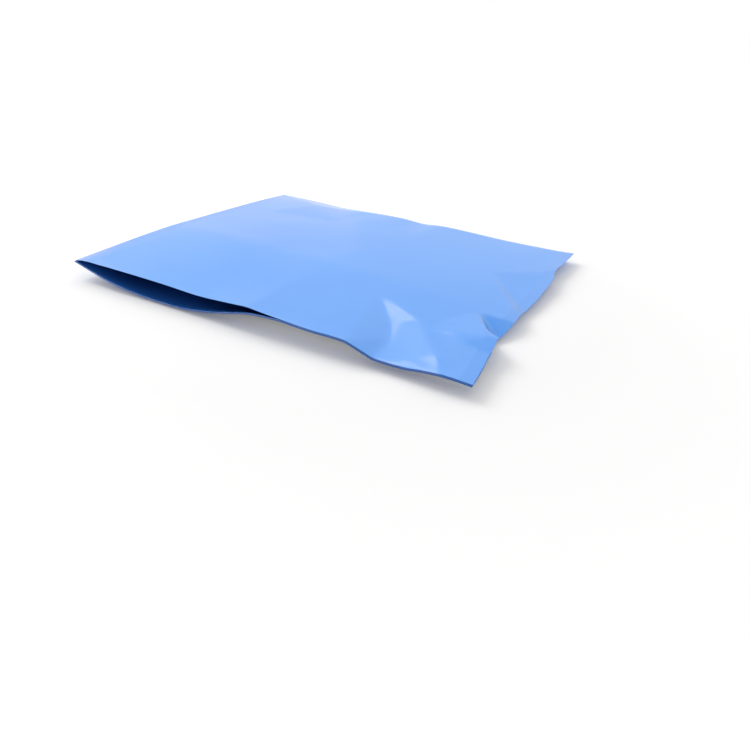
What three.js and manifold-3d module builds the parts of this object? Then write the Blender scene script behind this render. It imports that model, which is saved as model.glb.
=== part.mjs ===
// A poly mailer bag lying at rest, slightly puffed with air, its mouth part open.
// One sheet of blue film is folded into the bag: the upper film, the bottom fold, the lower film,
// the lip and the closing flap, which is turned under the bag. Welds join the films along both sides.
// Millimetres. X runs along the mouth, Y from the mouth to the bottom fold, Z up from the floor.

import * as THREE from 'three';
import { mergeVertices } from 'three/addons/utils/BufferGeometryUtils.js';
import Module from 'manifold-3d';

// The bag laid flat
const bagWidth = 305;
const bagDepth = 254;
const flapDepth = 40;
const filmThickness = 0.1;
const weldWidth = 8;

// The adhesive on the flap and the liner that covers it
const adhesiveWidth = 20;
const adhesiveThickness = 0.1;
const adhesiveFromFlapEdge = 9;
const linerWidth = 27;
const linerThickness = 0.1;
const stripEndMargin = 4;

// Clearances: between the two films where they lie together, and between stacked layers
const filmGap = 0.3;
const layerGap = 0.3;
const lipFoldGap = 0.9;

// How far past the flap's edge the lower film takes to come down from the flap to the floor
const flapStep = 20;

// Heights of the side welds' ends above the floor, and how far the left one bows up between them
const mouthLeftHeight = 12;
const mouthRightHeight = 7.8;
const foldLeftHeight = 10.5;
const foldRightHeight = 7.6;
const leftWeldBow = 3.7;

// The air in the bag: how far the upper film crowns, and how far in the lower film leaves the floor
const crownHeight = 2.6;
const sideReach = 45;
const lipReach = 42;

// The mouth's upper edge, with places measured from a side weld's cut edge: it swells up between
// the welds, with a ridge, a shoulder and a dip that die out towards the middle of the bag
const mouthSwell = 3.2;
const swellRise = 40;
const swellFall = 150;
const ridgeHeight = 1.5;
const ridgeFromLeft = 157;
const ridgeHalfWidth = 30;
const shoulderHeight = 1.7;
const shoulderFromRight = 80;
const shoulderHalfWidth = 15;
const dipDepth = 4.8;
const dipFromRight = 51.5;
const dipHalfWidth = 24;
const rippleReach = 90;

// The lip of the lower film: it curls up to the left weld and closes against the upper film
const lipCurlWidth = 67;
const lipCurlPower = 0.75;
const closingStart = 92;
const closingEnd = 188;
const lipOverhang = 1;
const lipBulge = 3;
const lipBulgeRise = 45;

// The buckle in the right weld, measured from the mouth
const buckleFromMouth = 45;
const buckleHalfWidth = 42;
const buckleLift = 4.2;
const notchDepth = 2.2;
const notchHalfWidth = 20;
const rightPull = 1.2;

// Divisions of the film: columns across, and rows along each stretch of the folded sheet
const columns = 26;
const upperRows = 16; // the lower film has as many
const foldRows = 4;
const overhangRows = 1;
const lipRows = 4;

// Rows across the flap, as distances from the lip: the edges of the liner and of the adhesive on it
const adhesiveFar = flapDepth - adhesiveFromFlapEdge;
const adhesiveNear = adhesiveFar - adhesiveWidth;
const adhesiveMiddle = (adhesiveNear + adhesiveFar) / 2;
const adhesiveQuarter = adhesiveWidth / 4;
const linerNear = adhesiveMiddle - linerWidth / 2;
const linerFar = adhesiveMiddle + linerWidth / 2;
const adhesiveStations = [0, 1, 2, 3, 4].map((step) => adhesiveNear + step * adhesiveQuarter);
const linerStations = [linerNear, ...adhesiveStations, linerFar];
const flapStations = [0, ...linerStations, flapDepth];
const flapRows = flapStations.length - 1;

const left = -bagWidth / 2;
const right = bagWidth / 2;
const totalDepth = bagDepth + lipOverhang + lipBulge;
const foldY = totalDepth / 2;
const mouthY = foldY - bagDepth;
const halfGap = (filmGap + filmThickness) / 2;
const foldRadius = halfGap;
const lipRadius = (lipFoldGap + filmThickness) / 2;
const upperEnd = foldY - foldRadius - filmThickness / 2;
const floorHeight = filmThickness / 2;
const stackHeight =
  2 * lipRadius + filmThickness / 2 + 2 * layerGap + adhesiveThickness + linerThickness;

const { lerp, clamp, smoothstep } = THREE.MathUtils;

// A bump of height 1 that is exactly 0 past its half width
function bump(distance, halfWidth) {
  const u = clamp(distance / halfWidth, -1, 1);
  return (1 - u * u) ** 2;
}

// 1 at an edge, falling to exactly 0 at the given reach from it
function fade(distance, reach) {
  const u = clamp(distance / reach, 0, 1);
  return (1 - u) ** 2;
}

function acrossShare(x) {
  return (x - left) / bagWidth;
}

function depthShare(y) {
  return clamp((y - mouthY) / (upperEnd - mouthY), 0, 1);
}

// Heights of the four edges, midway between the films
function leftHeight(y) {
  const t = depthShare(y);
  return lerp(mouthLeftHeight, foldLeftHeight, t) + leftWeldBow * (1 - (2 * t - 1) ** 4);
}

function rightHeight(y) {
  return lerp(mouthRightHeight, foldRightHeight, depthShare(y));
}

function foldHeight(x) {
  return lerp(foldLeftHeight, foldRightHeight, acrossShare(x));
}

function mouthSwellHeight(x) {
  const rise = smoothstep(x, left + weldWidth, left + swellRise);
  const fall = smoothstep(x, right - swellFall, right);
  return lerp(mouthLeftHeight, mouthRightHeight, acrossShare(x)) + mouthSwell * rise * (1 - fall);
}

function mouthRipple(x) {
  const ridge = ridgeHeight * bump(x - left - ridgeFromLeft, ridgeHalfWidth);
  const shoulder = shoulderHeight * bump(right - shoulderFromRight - x, shoulderHalfWidth);
  const dip = dipDepth * bump(right - dipFromRight - x, dipHalfWidth);
  return ridge + shoulder - dip;
}

// The buckle in the right weld
function buckle(y) {
  return bump(y - mouthY - buckleFromMouth, buckleHalfWidth);
}

// The middle of the upper film
function upperHeight(x, y) {
  const a = acrossShare(x);
  const b = depthShare(y);
  const along = lerp(mouthSwellHeight(x), foldHeight(x), b);
  const across = lerp(leftHeight(y), rightHeight(y), a);
  const corners = lerp(
    lerp(mouthLeftHeight, mouthRightHeight, a),
    lerp(foldLeftHeight, foldRightHeight, a),
    b,
  );
  const inner = clamp((x - left - weldWidth) / (bagWidth - 2 * weldWidth), 0, 1);
  const crown = crownHeight * (1 - (2 * inner - 1) ** 2) * (1 - (2 * b - 1) ** 2);
  const ripple = mouthRipple(x) * fade(y - mouthY, rippleReach);
  const lift = buckleLift * buckle(y) * fade(right - weldWidth - x, 2 * sideReach);
  return along + across - corners + crown + ripple + lift + halfGap;
}

// The middle of the lower film at its lip
function lipHeight(x) {
  const fromWeld = x - left - weldWidth;
  const curl = (mouthLeftHeight - halfGap - stackHeight) * fade(fromWeld, lipCurlWidth) ** lipCurlPower;
  const closed = mouthSwellHeight(x) + mouthRipple(x) - halfGap;
  return lerp(stackHeight + curl, closed, smoothstep(x, left + closingStart, left + closingEnd));
}

// The lower film's middle where it rests: flat on the floor, and on the folded flap near the mouth
function restHeight(y) {
  const flapEnd = mouthY + flapDepth;
  return lerp(stackHeight, floorHeight, smoothstep(y, flapEnd, flapEnd + flapStep));
}

// The middle of the lower film
function lowerHeight(x, y) {
  const rest = restHeight(y);
  const nearLeft = fade(x - left - weldWidth, sideReach);
  const nearRight = fade(right - weldWidth - x, sideReach);
  const nearFold = fade(upperEnd - y, sideReach);
  const nearLip = fade(y - mouthY, lipReach);
  const weldLift = buckleLift * buckle(y);
  const leftRise = leftHeight(y) - halfGap - rest;
  const rightRise = rightHeight(y) + weldLift - halfGap - rest;
  const foldRise = foldHeight(x) - halfGap - rest;
  const lipRise = lipHeight(x) - rest;
  return (
    rest
    + nearLeft * leftRise * (1 - nearFold) * (1 - nearLip)
    + nearRight * rightRise * (1 - nearFold) * (1 - nearLip)
    + nearFold * foldRise
    + nearLip * lipRise
  );
}

// How far the lip stands in front of the upper film's edge
function lipForward(x) {
  const open = smoothstep(x, left, left + lipBulgeRise);
  const closed = smoothstep(x, left + closingStart, left + closingEnd);
  return lipOverhang + lipBulge * open * (1 - closed);
}

// The right weld is drawn in a little between its corners, and more at the buckle
function drawnIn(x, y) {
  const t = depthShare(y);
  const bow = rightPull * 4 * t * (1 - t);
  const notch = notchDepth * bump(y - mouthY - buckleFromMouth, notchHalfWidth);
  return x - (bow + notch) * smoothstep(x, right - 2 * sideReach, right);
}

// Column places: the welds' inner edges fall on a column
function columnX(column) {
  if (column === 0) return left;
  if (column === columns) return right;
  return lerp(left + weldWidth, right - weldWidth, (column - 1) / (columns - 2));
}

// A point of the folded film, offset from its middle towards the bag's outside
function upperPoint(x, share, offset) {
  const y = lerp(mouthY, upperEnd, share);
  return new THREE.Vector3(drawnIn(x, y), y, upperHeight(x, y) + offset);
}

function lowerPoint(x, share, offset) {
  const y = lerp(upperEnd, mouthY, share);
  return new THREE.Vector3(drawnIn(x, y), y, lowerHeight(x, y) - offset);
}

// The lower film goes on past the upper film's edge to where its lip begins to turn under
function overhangPoint(x, share, offset) {
  const y = mouthY - share * (lipForward(x) - lipRadius - filmThickness / 2);
  return new THREE.Vector3(drawnIn(x, y), y, lowerHeight(x, y) - offset);
}

function roundFold(start, end, share, offset, side) {
  const radius = (start.z - end.z) / 2 + offset;
  const turn = share * Math.PI;
  const point = start.clone();
  point.y += side * radius * Math.sin(turn);
  point.z = (start.z + end.z) / 2 + radius * Math.cos(turn);
  return point;
}

function foldPoint(x, share, offset) {
  return roundFold(upperPoint(x, 1, 0), lowerPoint(x, 0, 0), share, offset, 1);
}

function lipPoint(x, share, offset) {
  const start = overhangPoint(x, 1, 0);
  const end = start.clone();
  end.z -= 2 * lipRadius;
  return roundFold(start, end, share, -offset, -1);
}

function flapPoint(x, distance, offset) {
  const point = overhangPoint(x, 1, 0);
  point.y += distance;
  point.x = drawnIn(x, point.y);
  point.z = lowerHeight(x, point.y) - 2 * lipRadius + offset;
  return point;
}

// The whole sheet as one run of rows, from the upper film's cut edge to the flap's
function filmPoint(column, row, offset) {
  const x = columnX(column);
  let r = row;
  if (r <= upperRows) return upperPoint(x, r / upperRows, offset);
  r -= upperRows;
  if (r <= foldRows) return foldPoint(x, r / foldRows, offset);
  r -= foldRows;
  if (r <= upperRows) return lowerPoint(x, r / upperRows, offset);
  r -= upperRows;
  if (r <= overhangRows) return overhangPoint(x, r / overhangRows, offset);
  r -= overhangRows;
  if (r <= lipRows) return lipPoint(x, r / lipRows, offset);
  r -= lipRows;
  return flapPoint(x, flapStations[r], offset);
}

// The box's back face is split along the same diagonals as its front face, so that a twisted
// sheet keeps its thickness
function matchDiagonals(geometry) {
  const back = geometry.groups[5];
  const index = geometry.index;
  for (let i = back.start; i < back.start + back.count; i += 6) {
    index.setX(i + 2, index.getX(i + 4));
    index.setX(i + 3, index.getX(i));
  }
}

// A box whose grid of columns and rows is laid out by a function of column, row and side
function sheetGeometry(columnCount, rowCount, place) {
  const geometry = new THREE.BoxGeometry(columnCount, rowCount, 2, columnCount, rowCount, 1);
  const position = geometry.attributes.position;
  matchDiagonals(geometry);
  for (let i = 0; i < position.count; i += 1) {
    const column = Math.round(position.getX(i) + columnCount / 2);
    const row = Math.round(position.getY(i) + rowCount / 2);
    const point = place(column, row, position.getZ(i));
    position.setXYZ(i, point.x, point.y, point.z);
  }
  geometry.deleteAttribute('normal');
  geometry.deleteAttribute('uv');
  const merged = mergeVertices(geometry);
  merged.computeVertexNormals();
  return merged;
}

function filmSheet() {
  const rowCount = 2 * upperRows + foldRows + overhangRows + lipRows + flapRows;
  return sheetGeometry(columns, rowCount, (column, row, side) =>
    filmPoint(column, row, (side * filmThickness) / 2),
  );
}

// The melted band between the films along one side, from the middle of one film to the other's
function weldBand(firstColumn) {
  const inset = filmThickness;
  const cutEdge = firstColumn === 0 ? left + inset : right - inset;
  const innerEdge = firstColumn === 0 ? left + weldWidth - inset : right - weldWidth + inset;
  const rows = upperRows;
  const edges = [Math.min(cutEdge, innerEdge), Math.max(cutEdge, innerEdge)];
  return sheetGeometry(1, rows, (column, row, side) => {
    const x = edges[column];
    const y = lerp(mouthY + inset, upperEnd - inset, row / rows);
    const z = side > 0 ? upperHeight(x, y) : lowerHeight(x, y);
    return new THREE.Vector3(drawnIn(x, y), y, z);
  });
}

// A strip along the flap's face that looks down, below it by a clearance
function stripOnFlap(stations, below, thickness) {
  return sheetGeometry(columns, stations.length - 1, (column, row, side) => {
    const x = clamp(columnX(column), left + stripEndMargin, right - stripEndMargin);
    const point = flapPoint(x, stations[row], 0);
    point.z -= filmThickness / 2 + below + (side > 0 ? 0 : thickness);
    return point;
  });
}

// Boolean joining of closed meshes
const wasm = await Module();
wasm.setup();

function toSolid(geometry) {
  return new wasm.Manifold(
    new wasm.Mesh({
      numProp: 3,
      vertProperties: new Float32Array(geometry.attributes.position.array),
      triVerts: new Uint32Array(geometry.index.array),
    }),
  );
}

function toGeometry(solid) {
  const mesh = solid.getMesh();
  const geometry = new THREE.BufferGeometry();
  geometry.setAttribute('position', new THREE.BufferAttribute(mesh.vertProperties, 3));
  geometry.setIndex(new THREE.BufferAttribute(mesh.triVerts, 1));
  geometry.computeVertexNormals();
  return geometry;
}

function filmPouch() {
  const solid = toSolid(filmSheet())
    .add(toSolid(weldBand(0)))
    .add(toSolid(weldBand(columns - 1)));
  const material = new THREE.MeshStandardMaterial({
    color: 0x509bef,
    roughness: 0.36,
    metalness: 0,
    side: THREE.DoubleSide,
  });
  const mesh = new THREE.Mesh(toGeometry(solid), material);
  mesh.name = 'film_pouch';
  return mesh;
}

function adhesiveStrip() {
  const geometry = stripOnFlap(adhesiveStations, layerGap, adhesiveThickness);
  const material = new THREE.MeshStandardMaterial({
    color: 0xe9e4cf,
    roughness: 0.3,
    metalness: 0,
  });
  const mesh = new THREE.Mesh(geometry, material);
  mesh.name = 'adhesive_strip';
  return mesh;
}

function releaseLiner() {
  const below = 2 * layerGap + adhesiveThickness;
  const geometry = stripOnFlap(linerStations, below, linerThickness);
  const material = new THREE.MeshStandardMaterial({
    color: 0xf2f3f2,
    roughness: 0.45,
    metalness: 0,
  });
  const mesh = new THREE.Mesh(geometry, material);
  mesh.name = 'release_liner';
  return mesh;
}

const mailer = new THREE.Group();
mailer.add(filmPouch());
mailer.add(adhesiveStrip());
mailer.add(releaseLiner());

export default mailer;
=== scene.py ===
import math

import bpy
import numpy as np
from mathutils import Matrix, Vector


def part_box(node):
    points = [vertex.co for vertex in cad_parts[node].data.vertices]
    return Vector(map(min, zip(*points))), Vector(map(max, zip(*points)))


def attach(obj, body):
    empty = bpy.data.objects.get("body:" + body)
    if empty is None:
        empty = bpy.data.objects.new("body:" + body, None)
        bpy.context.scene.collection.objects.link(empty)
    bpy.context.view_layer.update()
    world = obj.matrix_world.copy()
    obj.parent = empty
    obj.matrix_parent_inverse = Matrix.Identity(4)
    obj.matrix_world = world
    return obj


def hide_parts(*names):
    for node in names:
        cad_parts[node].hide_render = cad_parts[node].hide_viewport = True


# A blue poly mailer bag at rest, slightly puffed with air, its mouth part open.
# One sheet of film makes the upper film, the bottom fold, the lower film, the lip and the
# closing flap, which is turned under the bag with its adhesive strip and release liner.
# Shapes are worked out in millimetres and become metres as each mesh is made. X runs along
# the mouth, Y from the mouth to the bottom fold, and Z up from the floor.

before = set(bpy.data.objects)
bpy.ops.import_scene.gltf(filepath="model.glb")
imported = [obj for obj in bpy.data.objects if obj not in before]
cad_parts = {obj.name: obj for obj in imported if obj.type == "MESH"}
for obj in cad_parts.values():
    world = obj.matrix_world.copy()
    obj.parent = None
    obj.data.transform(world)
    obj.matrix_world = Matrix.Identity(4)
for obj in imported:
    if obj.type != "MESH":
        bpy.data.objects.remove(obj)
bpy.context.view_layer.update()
METRES = 0.001

# The film, its side welds and the flap
FILM = 0.1
WELD = 8.0
FLAP = 40.0

# The lip stands in front of the mouth's edge by the overhang, and where the mouth is open
# by the bulge too, which grows from the left end over the distance of its rise
LIP_OVERHANG = 1.0
LIP_BULGE = 3.0
LIP_BULGE_RISE = 45.0

# The bag's outer sizes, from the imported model
film_low, film_high = (np.array(corner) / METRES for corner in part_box("film_pouch"))
LEFT, RIGHT = film_low[0], film_high[0]
MOUTH = film_low[1] + LIP_OVERHANG + LIP_BULGE
FOLD = film_high[1]
WIDTH = RIGHT - LEFT
DEPTH = FOLD - MOUTH

# The strips on the flap: their long edges' distances from the lip's bend
ADHESIVE_NEAR, ADHESIVE_FAR = 11.0, 31.0
LINER_NEAR, LINER_FAR = 7.5, 34.5
STRIP_THICKNESS = 0.1
STRIP_END_MARGIN = 4.0

# Gaps: between the two films where they lie together, between the layers on the flap, and
# between the lower film and the flap
FILM_GAP = 0.12
LAYER_GAP = 0.02
LIP_FOLD_GAP = 0.9
# Half the distance between the middles of the two films, and the radius of the lip's bend
HALF_GAP = (FILM_GAP + FILM) / 2
LIP_RADIUS = (LIP_FOLD_GAP + FILM) / 2

# The lower film's height where it rests on the floor and on the flap with its strips, and
# the distance over which it comes down from one to the other
FLOOR_HEIGHT = FILM / 2
STACK_HEIGHT = 2 * LIP_RADIUS + FILM / 2 + 2 * LAYER_GAP + 2 * STRIP_THICKNESS
FLAP_STEP = 20.0

# Where the upper film starts to turn round the bottom fold
UPPER_END = FOLD - HALF_GAP - FILM / 2

# Lines along the mouth's edge, the bottom fold and the left weld:
# (place along the side, height midway between the films)
MOUTH_LINE = [
    (-152.5, 12.0), (-147, 13.0), (-126, 13.7), (-106, 13.8), (-64, 13.4), (-34, 12.6),
    (-10, 13.8), (4, 14.6), (17, 13.7), (30, 12.9), (52, 11.9), (66, 12.1), (78, 11.9),
    (95, 10.9), (115, 9.85), (126, 9.35), (138, 8.5), (143, 8.3), (152.5, 7.8),
]
FOLD_LINE = [
    (-152.5, 10.6), (-119, 10.1), (-75, 8.6), (-49, 9.2), (-14, 9.6), (14, 8.2), (24, 9.0),
    (62, 8.4), (89, 7.4), (122, 7.1), (141, 7.1), (152.5, 7.6),
]
LEFT_LINE = [
    (-125, 12.0), (-104, 12.9), (-53, 14.9), (-29, 15.3), (-8, 14.9), (33, 14.1), (94, 12.4),
    (129, 10.6),
]
# How far into the bag the lines of the mouth and the bottom fold are felt, and the share
# of the mouth's that stays beyond
LINE_REACH = 90.0
MOUTH_LINE_SHARE = 0.4

# How far the right weld is drawn in: (place along the weld, distance)
RIGHT_DRAWN_IN = [
    (-125, 0.0), (-112, 0.7), (-102, 1.5), (-92, 2.5), (-85, 2.7), (-77, 3.2), (-71.6, 4.1),
    (-63, 7.6), (-57, 7.6), (-50, 6.1), (-42, 4.6), (-34, 3.7), (-24, 3.5), (-12, 3.8),
    (-2, 3.0), (11, 1.8), (30, 1.0), (46, 0.5), (54, 0.5), (62, 1.7), (68, 2.7), (100, 1.4),
    (129, 0.2),
]
DRAWN_IN_REACH = 90.0

# How far the air lifts the upper film in the middle of the bag: (place from front to back,
# height), and the share of it at the left and at the right end
CROWN_LINE = [
    (-125, 0.0), (-80, 1.5), (-45, 2.55), (-28, 2.85), (-12, 2.6), (40, 1.75), (100, 0.5),
    (129, 0.0),
]
CROWN_SHARES = (1.15, 0.45)

# How far the cut edge of the mouth curls down: (place across, distance)
EDGE_CURL_LINE = [
    (-152.5, 0.0), (-90, 0.03), (-40, 0.08), (0, 0.06), (60, 0.1), (100, 0.12), (114, 0.3),
    (128, 0.12), (152.5, 0.06),
]
EDGE_CURL_REACH = 3.0

# Unevenness from handling: its height, and its waves' number and length. It grows between
# the two distances from the sides, and from the mouth's edge
HANDLING = 0.04
HANDLING_SEED = 5
WAVES = 14
WAVE_LENGTH = 60.0
WAVE_SPREAD = (0.7, 1.5)
HANDLING_FROM_SIDE = (WELD, 4 * WELD)
HANDLING_FROM_MOUTH = (0.0, 30.0)

# The lip of the lower film: (place across, height of the film's middle), and the places
# between which it closes up to the upper film
LIP_LINE = [
    (-152.5, 11.94), (-145, 10.2), (-136, 8.5), (-126, 6.9), (-116, 5.4), (-106, 4.2),
    (-95, 3.1), (-80, 2.2), (-60, 2.0),
]
LIP_CLOSING = (-60.0, 36.0)

# The lower film rises to the welds and the bottom fold over the first distance, and to the
# lip over the second. Within the third from the lip it keeps its shape where a fold of the
# upper film comes down on it
SIDE_REACH = 45.0
LIP_REACH = 42.0
LIP_HOLDS = LIP_REACH / 4


def smoothstep(x, low, high):
    t = np.clip((x - low) / (high - low), 0, 1)
    return t * t * (3 - 2 * t)


def fade(distance, reach):
    """1 at an edge, falling to exactly 0 at the given reach from it."""
    return (1 - np.clip(distance / reach, 0, 1)) ** 2


def lerp(a, b, t):
    return a + (b - a) * t


def spline(points, x):
    """A smooth curve through points (x, value)."""
    px, value = np.array(points, float).T
    slope = np.gradient(value, px)
    i = np.clip(np.searchsorted(px, x) - 1, 0, len(px) - 2)
    step = px[i + 1] - px[i]
    t = np.clip((x - px[i]) / step, 0, 1)
    rise = value[i + 1] - value[i]
    start, end = slope[i] * step, slope[i + 1] * step
    bend = 3 * rise - 2 * start - end
    return value[i] + t * start + t * t * bend + t**3 * (start + end - 2 * rise)


def off_line(points, x):
    """How far a side's line stands off the straight one between its ends."""
    straight = np.interp(x, [points[0][0], points[-1][0]], [points[0][1], points[-1][1]])
    return spline(points, x) - straight


# Folds pressed into the upper film: corners (x, y, height) and triangles between them.
# A small dimple by the cut edge of the mouth, to the right of the valley
DIMPLE = (
    [(109, -119, 0), (121, -121, 0), (114, -122.5, -0.3), (111, -131, -0.3),
     (117, -131, -0.3), (106, -131, 0), (123, -131, 0)],
    [(0, 1, 2), (0, 2, 3), (2, 3, 4), (1, 2, 4), (0, 3, 5), (1, 4, 6)],
)
# The valley behind the dip in the mouth's edge, closed at its inner end by a slope
VALLEY = (
    [(74, -125, 0), (93, -125, -5.3), (106, -125, -4.6), (137, -125, 0), (91, -99, -4.5),
     (61, -56, 0), (98, -73, 0), (88, -78, -2.1), (110, -88, 0)],
    [(0, 4, 1), (1, 4, 2), (2, 4, 3), (3, 4, 8), (4, 7, 8), (7, 6, 8), (5, 6, 7), (5, 7, 4),
     (5, 4, 0)],
)
# The buckle in the right weld: a crest from the notch inwards, with a pit behind it
BUCKLE = (
    [(153, -71.6, 4.2), (128, -38, 0.2), (150, -56.5, -5.8), (153, -61, -5.9),
     (153, -50, -4.0), (153, -35, -0.8), (153, -90, 1.0), (153, -114, 0), (108, -80, 0),
     (116, -34, 0), (153, -20, 0), (142.5, -55.5, 2.2)],
    [(0, 11, 2), (11, 1, 2), (0, 2, 3), (2, 3, 4), (1, 2, 4), (1, 4, 5), (1, 5, 10),
     (1, 10, 9), (0, 11, 8), (11, 1, 8), (0, 8, 6), (6, 8, 7), (1, 8, 9)],
)
# A low ridge beside the right weld, between the mouth and the buckle
WELD_SIDE = (
    [(135, -84, 0.7), (136, -106, 0.6), (144, -74, 0), (144, -118, 0), (112, -90, 0),
     (114, -114, 0), (124, -64, 0)],
    [(0, 1, 2), (1, 2, 3), (0, 1, 4), (1, 4, 5), (0, 2, 6), (0, 4, 6), (1, 3, 5)],
)
# A shallow crease behind the buckle, with a facet that rises from it to the far corner
FACET = (
    [(108, 38, 0), (153, -12, -3.3), (153, 73, 0.8), (153, -26, 0), (153, 118, 0)],
    [(0, 1, 2), (0, 1, 3), (0, 2, 4)],
)
# A long crease near the left end of the bottom fold
BACK_CREASE = (
    [(-152, 127, 0), (-98, 109.5, 1.6), (-44, 127, 0), (-118, 60, 0), (-54, 70, 0),
     (-144, 104, 0.1)],
    [(0, 1, 2), (0, 5, 1), (5, 3, 1), (3, 4, 1), (4, 2, 1)],
)
# Each fold, and how many passes round its edges
PRESSED = [(DIMPLE, 1), (VALLEY, 8), (BUCKLE, 3), (WELD_SIDE, 6), (FACET, 4), (BACK_CREASE, 3)]
MAP_MARGIN = 6.0
MAP_STEP = 1.0
# Keeps a place inside the map's last cell
LAST_CELL = 1.001


def pressed_height(x, y, corners, triangles):
    """Height of the flat triangles between corners, 0 outside them."""
    height = np.zeros_like(x)
    for triangle in triangles:
        (ax, ay, az), (bx, by, bz), (cx, cy, cz) = (corners[k] for k in triangle)
        area = (bx - ax) * (cy - ay) - (cx - ax) * (by - ay)
        b = ((x - ax) * (cy - ay) - (cx - ax) * (y - ay)) / area
        c = ((bx - ax) * (y - ay) - (x - ax) * (by - ay)) / area
        inside = (b >= 0) & (c >= 0) & (b + c <= 1)
        height = np.where(inside, az + b * (bz - az) + c * (cz - az), height)
    return height


def crease_map():
    """The pressed folds on a square grid, their edges rounded."""
    across = np.arange(LEFT - MAP_MARGIN, RIGHT + MAP_MARGIN, MAP_STEP)
    along = np.arange(MOUTH - MAP_MARGIN, FOLD + MAP_MARGIN, MAP_STEP)
    x, y = np.meshgrid(across, along)
    x, y = np.clip(x, LEFT, RIGHT), np.maximum(y, MOUTH)
    total = np.zeros_like(x)
    for fold, passes in PRESSED:
        height = pressed_height(x, y, *fold)
        for _ in range(passes):
            padded = np.pad(height, 1, mode="edge")
            rows = (padded[:-2] + 2 * padded[1:-1] + padded[2:]) / 4
            height = (rows[:, :-2] + 2 * rows[:, 1:-1] + rows[:, 2:]) / 4
        total += height
    return total


CREASES = crease_map()


def crease_height(x, y):
    """The height of the pressed folds at any place, between the map's points."""
    column = np.clip((x - LEFT + MAP_MARGIN) / MAP_STEP, 0, CREASES.shape[1] - LAST_CELL)
    row = np.clip((y - MOUTH + MAP_MARGIN) / MAP_STEP, 0, CREASES.shape[0] - LAST_CELL)
    j, i = column.astype(int), row.astype(int)
    s, t = column - j, row - i
    near = lerp(CREASES[i, j], CREASES[i, j + 1], s)
    far = lerp(CREASES[i + 1, j], CREASES[i + 1, j + 1], s)
    return lerp(near, far, t)


def handling(x, y):
    """Slight unevenness from handling: waves of about one length in all directions."""
    random = np.random.default_rng(HANDLING_SEED)
    total = np.zeros(np.broadcast(x, y).shape)
    for _ in range(WAVES):
        turn, phase = random.uniform(0, 2 * math.pi, 2)
        length = WAVE_LENGTH * random.uniform(*WAVE_SPREAD)
        distance = x * math.cos(turn) + y * math.sin(turn)
        total += np.cos(2 * math.pi * distance / length + phase)
    return total / math.sqrt(WAVES)


def upper_height(x, y):
    """The middle of the upper film."""
    a = (x - LEFT) / WIDTH
    b = np.clip((y - MOUTH) / (UPPER_END - MOUTH), 0, 1)
    height = lerp(
        lerp(MOUTH_LINE[0][1], MOUTH_LINE[-1][1], a),
        lerp(FOLD_LINE[0][1], FOLD_LINE[-1][1], a),
        b,
    )
    inner = np.clip((x - LEFT - WELD) / (WIDTH - 2 * WELD), 0, 1)
    crown = spline(CROWN_LINE, y) * (1 - (2 * inner - 1) ** 2)
    height = height + crown * lerp(*CROWN_SHARES, a)
    mouth_share = lerp(MOUTH_LINE_SHARE, 1, fade(y - MOUTH, LINE_REACH))
    height = height + off_line(MOUTH_LINE, x) * (1 - b) * mouth_share
    height = height + off_line(FOLD_LINE, x) * b * fade(FOLD - y, LINE_REACH)
    height = height + off_line(LEFT_LINE, y) * (1 - a)
    height = height + crease_height(x, y)
    off_sides = smoothstep(np.minimum(x - LEFT, RIGHT - x), *HANDLING_FROM_SIDE)
    off_mouth = smoothstep(y - MOUTH, *HANDLING_FROM_MOUTH)
    height = height + HANDLING * handling(x, y) * off_sides * off_mouth
    curl = spline(EDGE_CURL_LINE, x) * fade(y - MOUTH, EDGE_CURL_REACH)
    return height - curl + HALF_GAP


def against_upper(x, y):
    """The middle of the lower film where it would lie against the upper one."""
    return upper_height(x, y) - 2 * HALF_GAP


def lip_height(x):
    """The middle of the lower film at its lip."""
    closed = against_upper(x, np.full_like(x, MOUTH))
    opened = np.minimum(spline(LIP_LINE, x), closed)
    return lerp(opened, closed, smoothstep(x, *LIP_CLOSING))


def rest_height(y):
    """The lower film where it rests: on the floor, and on the folded flap near the mouth."""
    flap_end = MOUTH + FLAP
    return lerp(STACK_HEIGHT, FLOOR_HEIGHT, smoothstep(y, flap_end, flap_end + FLAP_STEP))


def lower_height(x, y):
    """The middle of the lower film. In the welds it lies against the upper one."""
    rest = rest_height(y)
    clamped = np.clip(y, MOUTH, UPPER_END)
    near_left = fade(x - LEFT - WELD, SIDE_REACH)
    near_right = fade(RIGHT - WELD - x, SIDE_REACH)
    near_fold = fade(UPPER_END - y, SIDE_REACH)
    near_lip = fade(y - MOUTH, LIP_REACH)
    left_rise = against_upper(np.minimum(x, LEFT + WELD), clamped) - rest
    right_rise = against_upper(np.maximum(x, RIGHT - WELD), clamped) - rest
    fold_rise = against_upper(x, np.full_like(x, UPPER_END)) - rest
    inside = (1 - near_fold) * (1 - near_lip)
    height = (
        rest
        + near_left * left_rise * inside
        + near_right * right_rise * inside
        + near_fold * fold_rise
        + near_lip * (lip_height(x) - rest)
    )
    # where a fold of the upper film comes down on it, it gives way
    pressed = np.minimum(height, against_upper(x, clamped))
    return np.where(y > MOUTH + LIP_HOLDS, pressed, height)


def bend_forward(x):
    """How far in front of the upper film's edge the lip starts to bend."""
    opened = smoothstep(x, LEFT, LEFT + LIP_BULGE_RISE)
    closed = smoothstep(x, *LIP_CLOSING)
    forward = LIP_OVERHANG + LIP_BULGE * opened * (1 - closed)
    return forward - LIP_RADIUS - FILM / 2


def point(x, y, z):
    """A point of the film, with the right weld drawn in between its corners."""
    drawn_in = spline(RIGHT_DRAWN_IN, y) * smoothstep(x, RIGHT - DRAWN_IN_REACH, RIGHT)
    return np.stack(np.broadcast_arrays(x - drawn_in, y, z), axis=-1)


def film_row(x, y, film_height):
    """A row across the upper or the lower film, whose height the given function tells."""
    y = np.full_like(x, y)
    return point(x, y, film_height(x, y))


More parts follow.
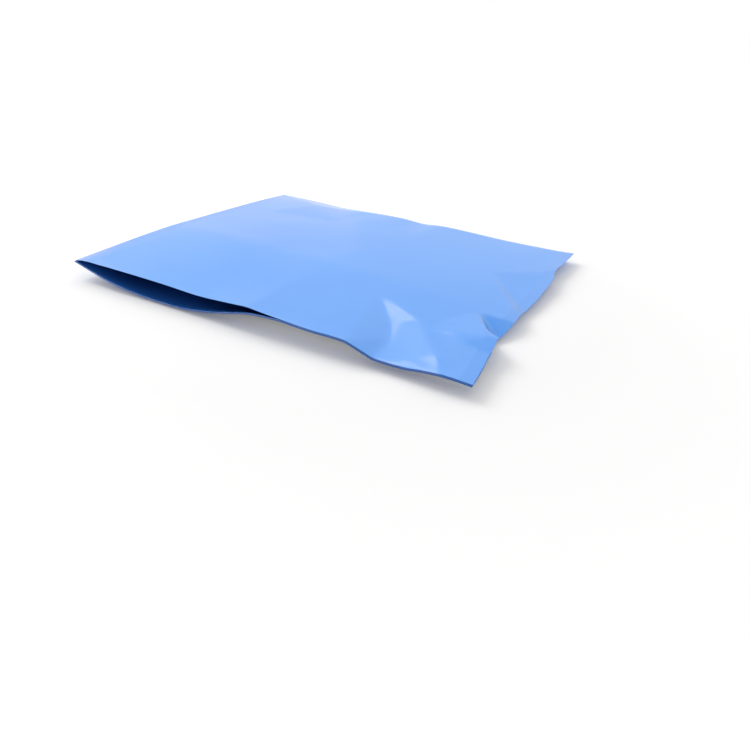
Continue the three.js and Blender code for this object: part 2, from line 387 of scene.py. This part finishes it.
def round_fold(start, end, side, count):
    """Rows of a half circle from start down to end, without these two."""
    radius = (start[..., 2] - end[..., 2]) / 2
    rows = []
    for share in np.linspace(0, 1, count)[1:-1]:
        row = start.copy()
        row[..., 1] += side * radius * math.sin(share * math.pi)
        row[..., 2] = (start[..., 2] + end[..., 2]) / 2 + radius * math.cos(share * math.pi)
        rows.append(row)
    return rows


def overhang_row(x, share):
    y = MOUTH - share * bend_forward(x)
    return point(x, y, lower_height(x, y))


def flap_row(x, distance):
    y = MOUTH - bend_forward(x) + distance
    return point(x, y, lower_height(x, y) - 2 * LIP_RADIUS)


# The mesh's columns and rows, as runs of (start, end, number of places). They are closer
# together on the right and by the mouth, where the folds are
FOLDS_START_X, FOLDS_END_Y = 55.0, -30.0
COLUMN_RUNS = [
    (LEFT, LEFT + WELD, 5),
    (LEFT + WELD, FOLDS_START_X, 92),
    (FOLDS_START_X, RIGHT - WELD, 66),
    (RIGHT - WELD, RIGHT, 5),
]
ROW_RUNS = [(MOUTH, FOLDS_END_Y, 68), (FOLDS_END_Y, UPPER_END, 44)]
BOTTOM_FOLD_ROWS = 7
OVERHANG_ROWS = 4
LIP_ROWS = 9
FLAP_ROWS = 18
STRIP_ROWS = 10


def places(runs):
    """All places of some runs. Where two runs meet, they share one."""
    parts = [np.linspace(*run) for run in runs]
    return np.concatenate(parts[:1] + [part[1:] for part in parts[1:]])


def film_rows(x):
    """Rows of the whole sheet, from the upper film's cut edge to the flap's. Both films have
    their rows at the same places, so neither cuts through the other in a steep fold."""
    stations = places(ROW_RUNS)
    rows = [film_row(x, y, upper_height) for y in stations]
    end = film_row(x, UPPER_END, lower_height)
    rows += round_fold(rows[-1], end, 1, BOTTOM_FOLD_ROWS)
    rows += [film_row(x, y, lower_height) for y in stations[::-1]]
    rows += [overhang_row(x, share) for share in np.linspace(0, 1, OVERHANG_ROWS)[1:]]
    end = rows[-1] - np.array([0, 0, 2 * LIP_RADIUS])
    rows += round_fold(rows[-1], end, -1, LIP_ROWS)
    rows += [flap_row(x, distance) for distance in np.linspace(0, FLAP, FLAP_ROWS)]
    return np.array(rows)


def strip_rows(x, near, far, below):
    """Rows of a strip along the flap's face that looks down."""
    x = np.clip(x, LEFT + STRIP_END_MARGIN, RIGHT - STRIP_END_MARGIN)
    x = x[np.concatenate([[True], np.diff(x) > 0])]
    rows = [flap_row(x, distance) for distance in np.linspace(near, far, STRIP_ROWS)]
    return np.array(rows) - np.array([0, 0, below])


# Edges that turn more than this look sharp
SHARP_ANGLE = math.radians(50)


def run_lengths(rows):
    """How far each row lies along the sheet, measured down its middle column."""
    middle = rows[:, rows.shape[1] // 2]
    steps = np.linalg.norm(np.diff(middle, axis=0), axis=1)
    return np.concatenate([[0], np.cumsum(steps)])


def sheet_object(name, rows, thickness):
    """A closed sheet of the given thickness around a grid of points. Its point attribute
    "flat" holds the place on the sheet laid flat, in metres."""
    along, across = np.gradient(rows, axis=0), np.gradient(rows, axis=1)
    normal = np.cross(across, along)
    normal /= np.linalg.norm(normal, axis=-1, keepdims=True)
    count, width = rows.shape[:2]
    sides = np.stack([rows + normal * thickness / 2, rows - normal * thickness / 2])
    number = np.arange(2 * count * width).reshape(2, count, width)

    def quads(a, b, c, d):
        return np.stack([a.ravel(), b.ravel(), c.ravel(), d.ravel()], axis=-1)

    front, back = number
    faces = [
        quads(front[:-1, :-1], front[:-1, 1:], front[1:, 1:], front[1:, :-1]),
        quads(back[:-1, :-1], back[1:, :-1], back[1:, 1:], back[:-1, 1:]),
        quads(front[0, :-1], back[0, :-1], back[0, 1:], front[0, 1:]),
        quads(front[-1, :-1], front[-1, 1:], back[-1, 1:], back[-1, :-1]),
        quads(front[:-1, 0], front[1:, 0], back[1:, 0], back[:-1, 0]),
        quads(front[:-1, -1], back[:-1, -1], back[1:, -1], front[1:, -1]),
    ]
    points = sides.reshape(-1, 3) * METRES
    mesh = bpy.data.meshes.new(name)
    mesh.from_pydata(points.tolist(), [], np.concatenate(faces).tolist())
    mesh.shade_smooth()
    mesh.set_sharp_from_angle(angle=SHARP_ANGLE)
    flat = np.zeros((2, count, width, 3))
    flat[..., 0] = rows[0, :, 0] - LEFT
    flat[..., 1] = run_lengths(rows)[:, None]
    flat[1, ..., 2] = thickness
    attribute = mesh.attributes.new("flat", "FLOAT_VECTOR", "POINT")
    attribute.data.foreach_set("vector", (flat * METRES).astype(np.float32).ravel())
    made = bpy.data.objects.new(name, mesh)
    bpy.context.scene.collection.objects.link(made)
    return made


# Materials: helpers that add nodes and hand on their outputs

def new_material(name):
    """A material, its node tree and its Principled shader."""
    material = bpy.data.materials.new(name)
    material.use_nodes = True
    tree = material.node_tree
    tree.nodes.clear()
    output = tree.nodes.new("ShaderNodeOutputMaterial")
    shader = tree.nodes.new("ShaderNodeBsdfPrincipled")
    tree.links.new(shader.outputs["BSDF"], output.inputs["Surface"])
    return material, tree, shader


def add(tree, kind, inputs=None, **settings):
    """A node with its settings, each input a value or another node's output."""
    node = tree.nodes.new("ShaderNode" + kind)
    for key, value in settings.items():
        setattr(node, key, value)
    for key, value in (inputs or {}).items():
        if isinstance(value, bpy.types.NodeSocket):
            tree.links.new(value, node.inputs[key])
        else:
            node.inputs[key].default_value = value
    return node


def flat_place(tree):
    """The place on the sheet laid flat: across, along, and through its thickness."""
    return add(tree, "Attribute", attribute_name="flat").outputs["Vector"]


def scaled(tree, vector, scale):
    return add(tree, "Mapping", {"Vector": vector, "Scale": scale}).outputs["Vector"]


def noise(tree, vector, scale, detail):
    inputs = {"Vector": vector, "Scale": scale, "Detail": detail}
    return add(tree, "TexNoise", inputs).outputs["Fac"]


def remap(tree, value, low, high, start=0.0, end=1.0):
    inputs = {"Value": value, "From Min": low, "From Max": high, "To Min": start, "To Max": end}
    return add(tree, "MapRange", inputs).outputs["Result"]


def maths(tree, operation, a, b=0.0):
    return add(tree, "Math", {0: a, 1: b}, operation=operation).outputs["Value"]


def mix_colour(tree, share, a, b):
    return add(tree, "Mix", {0: share, 6: a, 7: b}, data_type="RGBA").outputs[2]


def bump(tree, height, strength, depth, under=None):
    """Relief of a depth in metres, on top of the relief under it."""
    inputs = {"Height": height, "Strength": strength, "Distance": depth}
    if under:
        inputs["Normal"] = under
    return add(tree, "Bump", inputs).outputs["Normal"]


def wire(tree, shader, colour, roughness, normal):
    """Link a shader's colour, roughness and relief."""
    tree.links.new(colour, shader.inputs["Base Color"])
    tree.links.new(roughness, shader.inputs["Roughness"])
    tree.links.new(normal, shader.inputs["Normal"])


def from_srgb(red, green, blue):
    """A colour's linear values from its 8-bit sRGB ones."""
    def linear(value):
        value /= 255
        return value / 12.92 if value <= 0.04045 else ((value + 0.055) / 1.055) ** 2.4
    return (linear(red), linear(green), linear(blue), 1.0)


# Colours. A pair holds the two ends between which a surface varies
FILM_BLUES = (from_srgb(78, 156, 246), from_srgb(81, 160, 249))
STREAK_BLUE = from_srgb(85, 163, 250)
WELD_BLUE = from_srgb(73, 149, 241)
# The inner face's blue is darkened as painted shade for the bag's dim inside; the film is the
# same blue through
INSIDE_SHADE_BLUE = from_srgb(35, 92, 172)
ADHESIVE_CREAMS = (from_srgb(226, 219, 196), from_srgb(238, 233, 213))
LINER_WHITES = (from_srgb(233, 235, 234), from_srgb(243, 244, 243))


def film_material():
    material, tree, shader = new_material("blue_film")
    place = flat_place(tree)
    parts = add(tree, "SeparateXYZ", {"Vector": place}).outputs
    # the side welds: a band along both cut edges of the pouch, not of the flap
    half_width = WIDTH * METRES / 2
    from_middle = maths(tree, "ABSOLUTE", maths(tree, "SUBTRACT", parts["X"], half_width))
    band = maths(tree, "GREATER_THAN", from_middle, half_width - WELD * METRES)
    pouch = maths(tree, "LESS_THAN", parts["Y"], 2 * DEPTH * METRES)
    weld = maths(tree, "MULTIPLY", band, pouch)
    # thick and thin places in the film, and streaks along the bag's width from its making
    clouds = noise(tree, place, scale=14.0, detail=3.0)
    streaks = noise(tree, scaled(tree, place, (6.0, 420.0, 1.0)), scale=1.0, detail=2.0)
    outer = mix_colour(tree, remap(tree, clouds, 0.3, 0.7), *FILM_BLUES)
    streak_share = remap(tree, streaks, 0.35, 0.75, 0.0, 0.25)
    outer = mix_colour(tree, streak_share, outer, STREAK_BLUE)
    outer = mix_colour(tree, maths(tree, "MULTIPLY", weld, 0.45), outer, WELD_BLUE)
    # the film's inner face is painted a deeper blue: painted shade for the dim inside of the
    # bag
    inner = maths(tree, "GREATER_THAN", parts["Z"], FILM * METRES / 2)
    colour = mix_colour(tree, inner, outer, INSIDE_SHADE_BLUE)
    # the clouds and a fine grain vary the gloss, and the welds are glossier
    grain = noise(tree, place, scale=1500.0, detail=2.0)
    unevenness = maths(tree, "ADD", clouds, maths(tree, "MULTIPLY", grain, 0.3))
    roughness = remap(tree, unevenness, 0.4, 0.9, 0.15, 0.19)
    roughness = maths(tree, "SUBTRACT", roughness, maths(tree, "MULTIPLY", weld, 0.04))
    # relief: the grain, the streaks, and the ribs that the sealing bars press into the welds
    wave = {"Vector": place, "Scale": 260.0, "Distortion": 0.0}
    ribs = add(tree, "TexWave", wave, bands_direction="Y").outputs["Fac"]
    relief = bump(tree, grain, strength=0.12, depth=0.00004)
    relief = bump(tree, streaks, strength=0.2, depth=0.00005, under=relief)
    weld_ribs = maths(tree, "MULTIPLY", ribs, weld)
    relief = bump(tree, weld_ribs, strength=0.5, depth=0.00006, under=relief)
    wire(tree, shader, colour, roughness, relief)
    return material


def adhesive_material():
    material, tree, shader = new_material("adhesive")
    stretched = scaled(tree, flat_place(tree), (20.0, 600.0, 1.0))
    drawn = noise(tree, stretched, scale=1.0, detail=3.0)
    colour = mix_colour(tree, remap(tree, drawn, 0.3, 0.7), *ADHESIVE_CREAMS)
    roughness = remap(tree, drawn, 0.3, 0.7, 0.22, 0.38)
    wire(tree, shader, colour, roughness, bump(tree, drawn, strength=0.4, depth=0.00005))
    return material


def liner_material():
    material, tree, shader = new_material("release_liner")
    place = flat_place(tree)
    fibres = noise(tree, scaled(tree, place, (1.0, 2.2, 1.0)), scale=900.0, detail=4.0)
    clouds = noise(tree, place, scale=60.0, detail=2.0)
    fibre_part = maths(tree, "MULTIPLY", fibres, 0.6)
    shade = maths(tree, "ADD", fibre_part, maths(tree, "MULTIPLY", clouds, 0.4))
    colour = mix_colour(tree, remap(tree, shade, 0.35, 0.65), *LINER_WHITES)
    roughness = remap(tree, shade, 0.35, 0.65, 0.4, 0.5)
    wire(tree, shader, colour, roughness, bump(tree, fibres, strength=0.25, depth=0.00003))
    return material


# The pieces

across = places(COLUMN_RUNS)
film = sheet_object("mailer_film", film_rows(across), FILM)
film.data.materials.append(film_material())
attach(film, "root")
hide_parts("film_pouch")

adhesive_below = FILM / 2 + LAYER_GAP + STRIP_THICKNESS / 2
adhesive_rows = strip_rows(across, ADHESIVE_NEAR, ADHESIVE_FAR, adhesive_below)
adhesive = sheet_object("flap_adhesive", adhesive_rows, STRIP_THICKNESS)
adhesive.data.materials.append(adhesive_material())
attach(adhesive, "root")
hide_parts("adhesive_strip")

liner_below = adhesive_below + LAYER_GAP + STRIP_THICKNESS
liner_rows = strip_rows(across, LINER_NEAR, LINER_FAR, liner_below)
liner = sheet_object("flap_liner", liner_rows, STRIP_THICKNESS)
liner.data.materials.append(liner_material())
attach(liner, "root")
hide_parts("release_liner")

# Camera: the photograph's view. From here on places are in metres

CAMERA_PLACE = (0.22227, -0.37617, 0.16359)
CAMERA_TURN = math.radians(26.847)
CAMERA_PITCH = math.radians(30.858)
CAMERA_ROLL = math.radians(2.994)
CAMERA_LENS = 27.518
SENSOR = 36.0
NEAR_CLIP = 0.01


def make_camera():
    data = bpy.data.cameras.new("camera")
    data.lens = CAMERA_LENS
    data.sensor_width = SENSOR
    data.clip_start = NEAR_CLIP
    camera = bpy.data.objects.new("camera", data)
    turned = (
        Matrix.Rotation(CAMERA_TURN, 4, "Z")
        @ Matrix.Rotation(math.pi / 2 - CAMERA_PITCH, 4, "X")
        @ Matrix.Rotation(CAMERA_ROLL, 4, "Z")
    )
    camera.matrix_world = Matrix.Translation(CAMERA_PLACE) @ turned
    bpy.context.scene.collection.objects.link(camera)
    bpy.context.scene.camera = camera


# Studio: softboxes, a white surround and a pale floor

WHITE = (1.0, 1.0, 1.0, 1.0)
WORLD_STRENGTH = 0.65
FLOOR_COLOUR = (0.88, 0.88, 0.88, 1.0)
FLOOR_HALF_SIDE = 4.0
FLOOR_BELOW = 0.0003
# The floor's own glow near the bag and far from it: (distance, glow)
GLOW_NEAR = (0.2, 0.12)
GLOW_FAR = (0.9, 0.5)

# Softboxes: name, place, aim, size, radiance and colour
BAG_MIDDLE = (0.0, 0.0, 0.01)
VALLEY_MIDDLE = (0.085, -0.07, 0.01)
NEUTRAL = (1.0, 1.0, 1.0)
WARM = (1.0, 0.85, 0.8)
REDDISH = (1.0, 0.5, 0.4)
SOFTBOXES = [
    ("main", (-1.52, 0.41, 1.24), BAG_MIDDLE, (1.0, 1.0), 6.6, NEUTRAL),
    ("back_low", (-1.37, 1.32, 0.27), BAG_MIDDLE, (1.2, 0.55), 0.25, REDDISH),
    ("back_wide", (-0.68, 1.47, 1.18), BAG_MIDDLE, (2.4, 1.3), 0.2, NEUTRAL),
    ("back_high", (-0.62, 1.32, 1.25), BAG_MIDDLE, (1.7, 0.65), 0.55, NEUTRAL),
    ("accent", (-0.51, 0.83, 1.02), VALLEY_MIDDLE, (0.3, 0.36), 3.0, WARM),
]


def softbox(name, place, aim, size, radiance, colour):
    data = bpy.data.lights.new(name, "AREA")
    data.shape = "RECTANGLE"
    data.size, data.size_y = size
    data.color = colour
    data.energy = radiance * math.pi * size[0] * size[1]
    lamp = bpy.data.objects.new(name, data)
    lamp.location = place
    lamp.rotation_mode = "QUATERNION"
    lamp.rotation_quaternion = (Vector(aim) - Vector(place)).to_track_quat("-Z", "Y")
    lamp.visible_camera = False
    bpy.context.scene.collection.objects.link(lamp)


def seen_directly(tree):
    """1 for rays from the camera and for those that gloss or glass sends on, else 0."""
    path = add(tree, "LightPath").outputs
    either = maths(tree, "MAXIMUM", path["Is Camera Ray"], path["Is Glossy Ray"])
    return maths(tree, "MAXIMUM", either, path["Is Transmission Ray"])


def make_world():
    world = bpy.data.worlds.new("studio")
    world.use_nodes = True
    tree = world.node_tree
    tree.nodes.clear()
    lit = add(tree, "Background", {"Color": WHITE, "Strength": WORLD_STRENGTH}).outputs[0]
    white = add(tree, "Background", {"Color": WHITE, "Strength": 1.0}).outputs[0]
    mixed = add(tree, "MixShader", {0: seen_directly(tree), 1: lit, 2: white}).outputs[0]
    add(tree, "OutputWorld", {"Surface": mixed})
    bpy.context.scene.world = world


def make_floor():
    side = FLOOR_HALF_SIDE
    corners = [(-side, -side), (side, -side), (side, side), (-side, side)]
    mesh = bpy.data.meshes.new("floor")
    mesh.from_pydata([(x, y, -FLOOR_BELOW) for x, y in corners], [], [(0, 1, 2, 3)])
    floor = bpy.data.objects.new("floor", mesh)
    bpy.context.scene.collection.objects.link(floor)
    material = bpy.data.materials.new("pale_floor")
    material.use_nodes = True
    tree = material.node_tree
    tree.nodes.clear()
    matt = add(tree, "BsdfDiffuse", {"Color": FLOOR_COLOUR}).outputs[0]
    # away from the bag the floor brightens into the white surround
    place = add(tree, "NewGeometry").outputs["Position"]
    distance = add(tree, "VectorMath", {0: place}, operation="LENGTH").outputs["Value"]
    glow = remap(tree, distance, GLOW_NEAR[0], GLOW_FAR[0], GLOW_NEAR[1], GLOW_FAR[1])
    own = maths(tree, "MULTIPLY", seen_directly(tree), glow)
    lift = add(tree, "Emission", {"Color": WHITE, "Strength": own}).outputs[0]
    both = add(tree, "AddShader", {0: matt, 1: lift}).outputs[0]
    add(tree, "OutputMaterial", {"Surface": both})
    mesh.materials.append(material)


make_camera()
bpy.context.scene.view_settings.view_transform = "Standard"
make_world()
make_floor()
for box in SOFTBOXES:
    softbox(*box)
